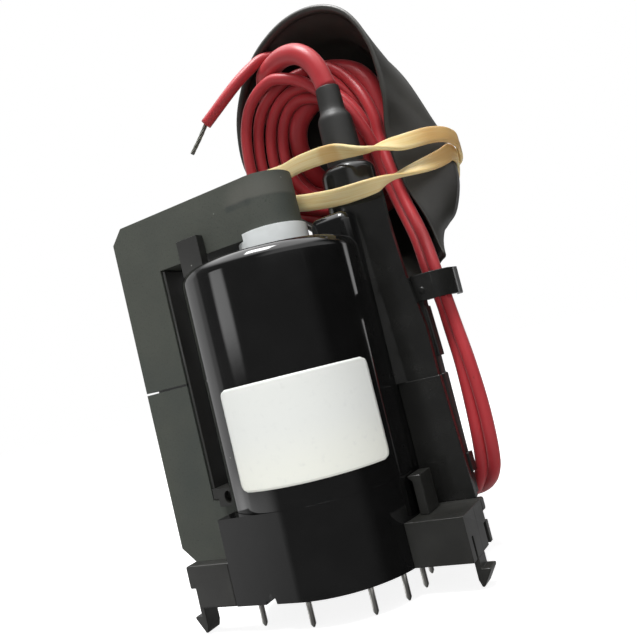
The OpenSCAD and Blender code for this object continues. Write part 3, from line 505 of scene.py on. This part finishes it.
def cap_rows(inset_rim, inset_body, shares, dome):
    """Rings of one side of the cap's wall, from the rim back to just short of the apex."""
    rim = smooth(inward(np.array(CAP_RIM), CAP_MIDDLE, inset_rim), 7, True)
    waist = smooth(inward(np.array(CAP_WAIST), CAP_CORE, inset_body), 7, True)
    apex = inward(CAP_APEX, CAP_CORE, inset_body)
    rows = [rim + (waist - rim) * sin(s * pi / 2) for s in shares]
    rows += [CAP_CORE + (waist - CAP_CORE) * cos(a) + (apex - CAP_CORE) * sin(a) for a in np.radians(dome)]
    return rows


ROUTE_STEPS, SETTLE_STEP = 12, 1.3 * MM
ROUNDS, EASING_ROUNDS, WALL_EVERY = 160, 20, 6
LEAD_GAP, WALL_GAP, FARTHEST_MOVE, FARTHEST_WALL_MOVE = 0.04 * MM, 0.3 * MM, 0.4 * MM, 9 * MM
DEEP_FROM, HIGH_FROM = 21 * MM, 62 * MM


def settle(routes, diameters, held):
    """Pushes the turns of several leads apart, and off the cap's wall where they lie deep in it.

    held gives the length from the start of each lead over which its points stay where they are. The last rounds
    mostly ease the bends.
    """
    wall = np.concatenate(cap_rows(CAP_WALL, CAP_WALL, np.linspace(0.1, 1, 8), (8, 20, 32, 44, 56, 68, 80, 87))) * MM
    core = CAP_CORE * MM
    lines = [even(smooth(mm(r), ROUTE_STEPS), SETTLE_STEP) for r in routes]
    points = np.concatenate(lines)
    owner = np.concatenate([[i] * len(line) for i, line in enumerate(lines)])
    along = np.concatenate([np.arange(len(line)) * SETTLE_STEP for line in lines])
    radius = np.array([diameters[i] / 2 for i in owner])
    stay = along < np.array(held)[owner]
    want = radius[:, None] + radius[None, :] + LEAD_GAP
    same = owner[:, None] == owner[None, :]
    near_on_line = same & (np.abs(along[:, None] - along[None, :]) < want * 2.2)
    home = points.copy()
    first = np.searchsorted(owner, range(len(lines)))
    ends = np.concatenate([first, np.append(first[1:], len(points)) - 1])
    for turn in range(ROUNDS):
        easing = turn >= ROUNDS - EASING_ROUNDS
        off = points[:, None] - points[None, :]
        gap = np.linalg.norm(off, axis=2) + 1e-9
        push = np.clip(want - gap, 0, None)
        push[near_on_line] = 0
        move = (off / gap[:, :, None] * push[:, :, None]).sum(1) * 0.3
        bend = np.zeros_like(points)
        bend[1:-1] = (points[:-2] + points[2:]) / 2 - points[1:-1]
        bend[ends] = 0
        move += bend * (0.5 if easing else 0.12) + (home - points) * 0.03
        move[stay] = 0
        points = points + np.clip(move, -FARTHEST_MOVE, FARTHEST_MOVE)
        if turn % WALL_EVERY == WALL_EVERY - 1 and not easing:
            nearest = wall[np.argmin(((points[:, None] - wall[None]) ** 2).sum(2), axis=1)]
            way = (core - nearest) / np.linalg.norm(core - nearest, axis=1)[:, None]
            short = np.clip(radius + WALL_GAP - ((points - nearest) * way).sum(1), 0, FARTHEST_WALL_MOVE)
            points += way * np.where((home[:, 1] > DEEP_FROM) & (points[:, 2] > HIGH_FROM), short, 0)[:, None]
    return [points[owner == i] for i in range(len(lines))]


hv_path, screen_path, focus_path = settle(
    [HV_ROUTE, pair_route(-1) + SCREEN_COIL, pair_route(1) + FOCUS_COIL], [HV_D, LEAD_D, LEAD_D],
    [24 * MM, 150 * MM, 112 * MM])


def strand_lay(path, diameter, strands, pitch):
    """Paths of thin strands twisted round a middle one."""
    ahead, side, over = carried_frames(path)
    run = np.concatenate([[0], np.cumsum(np.linalg.norm(np.diff(path, axis=0), axis=1))])
    out = []
    for k in range(strands):
        a = 2 * pi * (k / strands + run / pitch)
        out.append(path + diameter / 3 * (np.cos(a)[:, None] * side + np.sin(a)[:, None] * over))
    return out


def join(name, pieces, material):
    """Several pieces as one mesh."""
    bm = bmesh.new()
    for piece in pieces:
        bm.from_mesh(piece.data)
        bpy.data.objects.remove(piece)
    mesh = bpy.data.meshes.new(name)
    bm.to_mesh(mesh)
    bm.free()
    return add(name, mesh, material)


def centre_line(path):
    return even(smooth(path, 2), CORD_STEP)


def make_wire():
    """The bare wire: six strands twisted round a seventh, starting a little inside the insulation."""
    path = even(smooth(mm(WIRE_ROUTE), ROUTE_STEPS), 0.25 * MM)
    back = path[0] - (path[1] - path[0]) / np.linalg.norm(path[1] - path[0]) * 0.6 * MM
    path = np.concatenate([[back], path])
    lays = strand_lay(path, WIRE_D, 6, 9 * MM) + [path]
    return join("stripped_strands", [tube("strand", p, WIRE_D / 3, WIRE, 10) for p in lays], WIRE)


hv_cord = tube("hv_cord", centre_line(hv_path), HV_D, RED, 28)
screen_cord = tube("screen_cord", centre_line(screen_path), LEAD_D, RED, 20)
focus_cord = tube("focus_cord", centre_line(focus_path), LEAD_D, RED, 20)
stripped_strands = make_wire()


# ---------------------------------------------------------------- softened copies of the moulded parts

BEVEL_FROM, SHARP_FROM = radians(38), radians(44)


def softened(node, name, bevel, segments=2, cut=None, material=None):
    """The CAD node's own shape with its edges rounded and another shape cut out of it, in place of the node."""
    mesh = NODES[node].data.copy()
    bm = bmesh.new()
    bm.from_mesh(mesh)
    bmesh.ops.remove_doubles(bm, verts=bm.verts, dist=0.003 * MM)
    bmesh.ops.dissolve_limit(bm, angle_limit=radians(0.5), verts=bm.verts, edges=bm.edges)
    bm.to_mesh(mesh)
    bm.free()
    piece = add(name, mesh, material or FINISH_OF[SLOT_OF[node]])
    if cut is not None:
        m = piece.modifiers.new("cut", "BOOLEAN")
        m.operation, m.object, m.solver = "DIFFERENCE", cut, "EXACT"
    m = piece.modifiers.new("edges", "BEVEL")
    m.width, m.segments, m.limit_method, m.angle_limit = bevel * MM, segments, "ANGLE", BEVEL_FROM
    m.use_clamp_overlap = True
    bake(piece)
    piece.data.set_sharp_from_angle(angle=SHARP_FROM)
    m = piece.modifiers.new("normals", "WEIGHTED_NORMAL")
    m.keep_sharp = True
    bake(piece)
    if cut is not None:
        bpy.data.objects.remove(cut)
    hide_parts(node)
    return piece


def chip_cutter():
    """The shape of the ragged chip out of the base's lower edge."""
    outline = [(-7.6, -1), (-7.5, 0.6), (-7, 0.45), (-6.8, 1.2), (-6.3, 1.8), (-5.9, 1.1), (-5.5, 0.9), (-5.2, -1)]
    bm = bmesh.new()
    face = bm.faces.new([bm.verts.new((x * MM, -21 * MM, z * MM)) for x, z in outline])
    deep = bmesh.ops.extrude_face_region(bm, geom=[face])
    bmesh.ops.translate(bm, verts=[v for v in deep["geom"] if isinstance(v, bmesh.types.BMVert)], vec=(0, 8 * MM, 0))
    bmesh.ops.recalc_face_normals(bm, faces=bm.faces)
    mesh = bpy.data.meshes.new("chip")
    bm.to_mesh(mesh)
    bm.free()
    return add("chip", mesh, BASE)


def bake(piece):
    """Turns a piece's modifiers into plain mesh."""
    bpy.context.view_layer.update()
    shape = bpy.data.meshes.new_from_object(piece.evaluated_get(bpy.context.evaluated_depsgraph_get()))
    piece.modifiers.clear()
    piece.data = shape


# The node, the name of its visible piece, and the width of its rounded edges.
MOULDED = {
    "case_body": ("case_shell", 0.12), "winding_compartment": ("winding_shell", 0.4),
    "hv_tower": ("tower_shell", 0.6), "tower_foot": ("tower_foot_shell", 0.4),
    "back_plate": ("back_plate_shell", 0.2), "latch_upper": ("upper_latch", 0.2),
    "latch_lower": ("lower_latch", 0.15), "core_post": ("yoke_tab", 0.25), "core_cradle": ("core_rest", 0.2),
    "window_wall": ("window_liner", 0.1), "base_lip": ("base_end_lip", 0.3), "side_block": ("side_block_shell", 0.35),
    "block_post": ("lead_guide", 0.2), "rear_block": ("rear_block_shell", 0.35), "cable_clip": ("lead_clip", 0.25),
    "hook_left": ("left_snap", 0.12), "hook_right": ("right_snap", 0.12), "focus_block": ("focus_housing", 0.3),
    "focus_knob": ("focus_spindle", 0.25), "screen_knob": ("screen_spindle", 0.25),
    "bobbin_tube": ("bobbin_collar", 0.15), "core_upper": ("upper_core", 0.35), "core_lower": ("lower_core", 0.35),
    "gap_spacer": ("gap_film", 0.03), "anode_contact": ("contact_button", 0.3)}

OWN_FINISH = {"hv_tower": TOWER, "tower_foot": TOWER, "cable_clip": TOWER, "back_plate": PLATE, "latch_upper": PLATE,
              "latch_lower": PLATE}

pieces = {node: softened(node, name, bevel, material=OWN_FINISH.get(node))
          for node, (name, bevel) in MOULDED.items()}
pieces["base_skirt"] = softened("base_skirt", "base_wall", 0.25, cut=chip_cutter())
pieces["resin_fill"] = softened("resin_fill", "potting", 0.1, cut=chip_cutter())
for i in range(1, 11):
    pieces[f"pin_{i:02d}"] = softened(f"pin_{i:02d}", f"board_pin_{i:02d}", 0.06, segments=1)


# ---------------------------------------------------------------- label

CASE_AXIS, CASE_R = Vector((-1.3, -1.2)), 17.4
LABEL_FROM, LABEL_TO, LABEL_CORNER, LABEL_LIFT, PAPER = radians(-112), radians(-15), 1.5, 0.02, 0.12


def make_label():
    """A label with rounded corners, bent round the case."""
    low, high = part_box("label")
    z0, z1 = low.z / MM, high.z / MM
    rows, cols, radius = 40, 60, CASE_R + LABEL_LIFT
    rings = []
    for i in range(rows + 1):
        v = i / rows * (z1 - z0)
        from_corner = LABEL_CORNER - min(v, z1 - z0 - v, LABEL_CORNER)
        trim = (LABEL_CORNER - sqrt(max(0, LABEL_CORNER ** 2 - from_corner ** 2))) / CASE_R
        rings.append([(CASE_AXIS.x + radius * cos(a), CASE_AXIS.y + radius * sin(a), z0 + v)
                      for a in np.linspace(LABEL_FROM + trim, LABEL_TO - trim, cols)])
    mesh = grid_mesh("case_label", np.array(rings) * MM, closed_round=False, caps=False)
    piece = add("case_label", mesh, LABEL)
    bm = bmesh.new()
    bm.from_mesh(piece.data)
    for f in bm.faces:
        out = f.calc_center_median() - Vector((CASE_AXIS.x * MM, CASE_AXIS.y * MM, f.calc_center_median().z))
        if f.normal.dot(out) < 0:
            f.normal_flip()
    bm.to_mesh(piece.data)
    bm.free()
    m = piece.modifiers.new("paper", "SOLIDIFY")
    m.thickness, m.offset = PAPER * MM, 1
    bake(piece)
    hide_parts("label")
    return piece


pieces["label"] = make_label()


# ---------------------------------------------------------------- boot on the tower

BOOT_PROFILE = [(3.66, 0), (3.68, 1.2), (3.62, 4.5), (3.52, 8.4), (3.44, 9.6), (3.16, 10.3), (2.72, 11), (2.56, 11.8),
                (2.5, 13.4), (2.42, 15.9), (2.36, 16.25), (2.2, 16.3), (2.11, 16.25), (2.11, 15.4)]


def make_boot():
    """A turned boot from its profile of radius and height, with its shrunk shoulder a little aslant."""
    low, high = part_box("lead_boot")
    x, y, z = (low.x + high.x) / 2 / MM, (low.y + high.y) / 2 / MM, low.z / MM
    rings = []
    for r, _, h in smooth([(r, 0, h) for r, h in BOOT_PROFILE], 4):
        slant = 0.12 if 9 < h < 12 else 0
        rings.append([(x + r * cos(a), y + r * sin(a), z + h + slant * cos(a + 2))
                      for a in (2 * pi * j / 56 for j in range(56))])
    piece = add("tower_boot", grid_mesh("tower_boot", np.array(rings) * MM), BOOT)
    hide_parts("lead_boot")
    return piece


pieces["lead_boot"] = make_boot()


# ---------------------------------------------------------------- anode cap

def make_cap():
    """The cup: its outer wall, its rounded edge and its inner wall, which has a shallow groove behind the edge."""
    shares = [0, 0.02, 0.05, 0.09, 0.13, 0.2, 0.3, 0.42, 0.55, 0.68, 0.8, 0.9]
    dome = [0, 8, 17, 26, 36, 46, 56, 66, 75, 82, 87]
    outer = cap_rows(0.0, 0.0, shares, dome)
    inner = cap_rows(CAP_WALL, CAP_WALL, shares, dome)
    edge = [outer[0] * (1 - t) + inner[0] * t + np.array((0, -swell, 0))
            for t, swell in ((0.15, 0.28), (0.5, 0.42), (0.85, 0.28))]
    for k, dent in ((3, 0.45), (4, 0.5), (5, 0.25)):
        inner[k] = inward(inner[k], CAP_CORE, -dent)
    rings = outer[::-1] + edge + inner
    piece = add("anode_cup", grid_mesh("anode_cup", np.array(rings) * MM), CAP)
    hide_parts("anode_cap")
    return piece


pieces["anode_cap"] = make_cap()


# ---------------------------------------------------------------- rubber band

BAND_ROUTE = [(1, 8.6, 77.4), (7, 6.2, 77), (14.8, 4.6, 76), (22.6, 2.8, 73.4), (26.5, 9, 74.2), (30.2, 13.5, 75),
              (32.1, 17, 75.3), (33.2, 20.4, 75), (33.2, 24, 74.2), (30, 32, 73.2), (18, 39.8, 73), (5, 39, 74),
              (-7, 34, 73.4), (-13.4, 26, 72.6), (-12, 16, 72), (-4, 10.4, 71.4), (1.4, 8.2, 70.4), (7, 5.6, 68.8),
              (14, 3.6, 67.3), (22.6, 2.2, 66.6), (25.6, 8, 68.2), (29.4, 14.6, 70), (31.4, 18.4, 71.3),
              (32, 21.4, 72.4), (31.4, 27, 72), (27, 35, 69.6), (17, 38.2, 69), (4, 38, 71.6), (-7.4, 32.6, 76.4),
              (-12, 24, 79), (-10, 14, 78.6), (-4, 10, 78)]
BAND_ROLL = [0, -6, -30, -95, -160, -172, -172, -178, -180, -180, -180, -180, -180, -180, -180, -180, -180, -184,
             -200, -235, -290, -335, -350, -360, -360, -360, -360, -360, -360, -360, -360, -360]


def make_band():
    """A flat band along a closed path, turned over twice on the way."""
    wide, thick = 3.4, 0.9
    path = smooth(BAND_ROUTE, ROUTE_STEPS, True)
    roll = np.radians(smooth([(r, 0, 0) for r in BAND_ROLL] + [(-360, 0, 0)], ROUTE_STEPS)[:-1, 0])
    ahead = np.roll(path, -1, 0) - np.roll(path, 1, 0)
    ahead /= np.linalg.norm(ahead, axis=1)[:, None]
    out = np.cross(ahead, (0, 0, 1.0))
    out /= np.linalg.norm(out, axis=1)[:, None]
    up = np.cross(out, ahead)
    c, s = np.cos(roll)[:, None], np.sin(roll)[:, None]
    flat, across = out * c + up * s, up * c - out * s
    section = []
    for i in range(24):
        x, z = cos(2 * pi * i / 24), sin(2 * pi * i / 24)
        section.append((thick / 2 * abs(x) ** 0.7 * (1 if x > 0 else -1),
                        wide / 2 * abs(z) ** 0.45 * (1 if z > 0 else -1)))
    rings = np.array([[p + f * x + w * z for x, z in section] for p, f, w in zip(path, flat, across)])
    piece = add("rubber_loop", grid_mesh("rubber_loop", rings * MM, closed_along=True), BAND)
    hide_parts("rubber_band")
    return piece


pieces["rubber_band"] = make_band()


# ---------------------------------------------------------------- what rides where

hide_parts("hv_lead")
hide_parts("screen_lead", "lead_hank")
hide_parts("focus_lead", "loose_end")
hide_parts("bare_wire")
for piece in [*pieces.values(), hv_cord, screen_cord, focus_cord, stripped_strands]:
    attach(piece, BODY)


def declare(path):
    points = centre_line(path)


declare(hv_path)
declare(screen_path)
declare(focus_path)


# ---------------------------------------------------------------- floor, light and background

def shader_tree(owner):
    owner.use_nodes = True
    tree = owner.node_tree
    tree.nodes.clear()
    return tree


FLOOR_GLOW = 0.87


def make_floor():
    """A pale floor that shows almost white to the camera and keeps the object's shadow."""
    bpy.ops.mesh.primitive_plane_add(size=6, location=(0, 0, -5.3 * MM))
    floor = bpy.context.object
    floor.name = "floor"
    material = bpy.data.materials.new("floor")
    tree = shader_tree(material)
    diffuse, glow, both, out = (tree.nodes.new("ShaderNode" + k) for k in
                                ("BsdfDiffuse", "Emission", "AddShader", "OutputMaterial"))
    path = tree.nodes.new("ShaderNodeLightPath")
    diffuse.inputs[0].default_value = (0.6, 0.6, 0.6, 1)
    scale = tree.nodes.new("ShaderNodeMath")
    scale.operation = "MULTIPLY"
    scale.inputs[1].default_value = FLOOR_GLOW
    tree.links.new(path.outputs["Is Camera Ray"], scale.inputs[0])
    tree.links.new(scale.outputs[0], glow.inputs["Strength"])
    tree.links.new(diffuse.outputs[0], both.inputs[0])
    tree.links.new(glow.outputs[0], both.inputs[1])
    tree.links.new(both.outputs[0], out.inputs[0])
    floor.data.materials.append(material)
    floor.visible_glossy = False


def make_world():
    """White behind the object, a plain soft light all round, and a dim room in front for glossy faces to show."""
    world = bpy.data.worlds.new("studio")
    bpy.context.scene.world = world
    tree = shader_tree(world)
    new, link = tree.nodes.new, tree.links.new
    path, where = new("ShaderNodeLightPath"), new("ShaderNodeTexCoord")

    def fade(value, low, high):
        ranged = new("ShaderNodeMapRange")
        ranged.interpolation_type = "SMOOTHSTEP"
        link(value, ranged.inputs[0])
        ranged.inputs[1].default_value, ranged.inputs[2].default_value = low, high
        return ranged.outputs[0]

    def facing(direction, low, high):
        """From 0 to 1 as the cosine of the angle to a direction goes from low to high."""
        dot = new("ShaderNodeVectorMath")
        dot.operation = "DOT_PRODUCT"
        link(where.outputs["Generated"], dot.inputs[0])
        dot.inputs[1].default_value = Vector(direction).normalized()
        return fade(dot.outputs["Value"], low, high)

    def height(low, high):
        rise = new("ShaderNodeSeparateXYZ")
        link(where.outputs["Generated"], rise.inputs[0])
        return fade(rise.outputs[2], low, high)

    def product(a, b):
        n = new("ShaderNodeMath")
        n.operation = "MULTIPLY"
        link(a, n.inputs[0])
        link(b, n.inputs[1])
        return n.outputs[0]

    def sum_of(parts, base):
        """The parts times their strengths, and a base, added up."""
        total = None
        for value, strength in parts:
            n = new("ShaderNodeMath")
            n.operation = "MULTIPLY_ADD"
            link(value, n.inputs[0])
            n.inputs[1].default_value = strength
            if total is None:
                n.inputs[2].default_value = base
            else:
                link(total, n.inputs[2])
            total = n.outputs[0]
        return total

    # A window stands at the front left with a dark wall beside it, a pale wall further left, and the table is lit
    # at the left. Two more lights stand at the right, one of them high up.
    ahead = facing((-0.473, 0.881, 0), 0.3, 0.4)
    window = product(product(facing((-0.656, -0.755, 0.1), 0.976, 0.993), height(0, 0.1)), height(0.24, 0.16))
    pale = facing((-0.966, 0.259, 0), 0.82, 0.86)
    middle = facing((-0.2, -1, 0), -0.1, 0.3)
    right = product(facing((-0.707, 0.707, 0), 0, 0.05), facing((0.848, 0.53, 0), 0.9, 0.95))
    above = product(facing((0.94, -0.34, 0), 0.5, 0.8), height(0.16, 0.24))
    table = product(facing((-0.91, -0.41, 0), 0.75, 0.95), height(-0.1, -0.17))
    room = sum_of([(ahead, 0.3), (window, 2.5), (pale, 0.42), (middle, 0.14), (right, 1.8), (above, 1.0),
                   (table, 1.0), (height(0.6, 0.85), 3.2)], 0.02)
    soft = sum_of([(facing((0, -0.2, 1), 0, 1), 0.3), (facing((-0.3, -1, 0), -0.1, 1), 0.08)], 0.06)
    white = new("ShaderNodeMath")
    white.operation = "MAXIMUM"
    link(path.outputs["Is Camera Ray"], white.inputs[0])
    link(path.outputs["Is Transmission Ray"], white.inputs[1])
    mirror_mix, camera_mix = new("ShaderNodeMix"), new("ShaderNodeMix")
    link(path.outputs["Is Glossy Ray"], mirror_mix.inputs[0])
    link(soft, mirror_mix.inputs[2])
    link(room, mirror_mix.inputs[3])
    link(white.outputs[0], camera_mix.inputs[0])
    link(mirror_mix.outputs[0], camera_mix.inputs[2])
    camera_mix.inputs[3].default_value = 1.0
    back, out = new("ShaderNodeBackground"), new("ShaderNodeOutputWorld")
    back.inputs["Color"].default_value = (1, 1, 1, 1)
    link(camera_mix.outputs[0], back.inputs["Strength"])
    link(back.outputs[0], out.inputs[0])


def softbox(name, place, aim, size, watts, seen=True):
    """A square lamp, in metres, that glossy faces may or may not show."""
    lamp = bpy.data.lights.new(name, "AREA")
    lamp.size, lamp.energy = size, watts
    thing = bpy.data.objects.new(name, lamp)
    bpy.context.scene.collection.objects.link(thing)
    thing.location = place
    thing.visible_glossy = seen
    thing.rotation_mode = "QUATERNION"
    thing.rotation_quaternion = (Vector(aim) - Vector(place)).to_track_quat("-Z", "Y")


make_floor()
make_world()
softbox("top_light", (0.04, -0.25, 0.86), (0, 0, 0.08), 0.34, 9.4)
softbox("front_light", (0.3, -0.9, 0.1), (0, 0, 0.02), 0.45, 1.35, seen=False)
bpy.context.scene.view_settings.view_transform = "Standard"
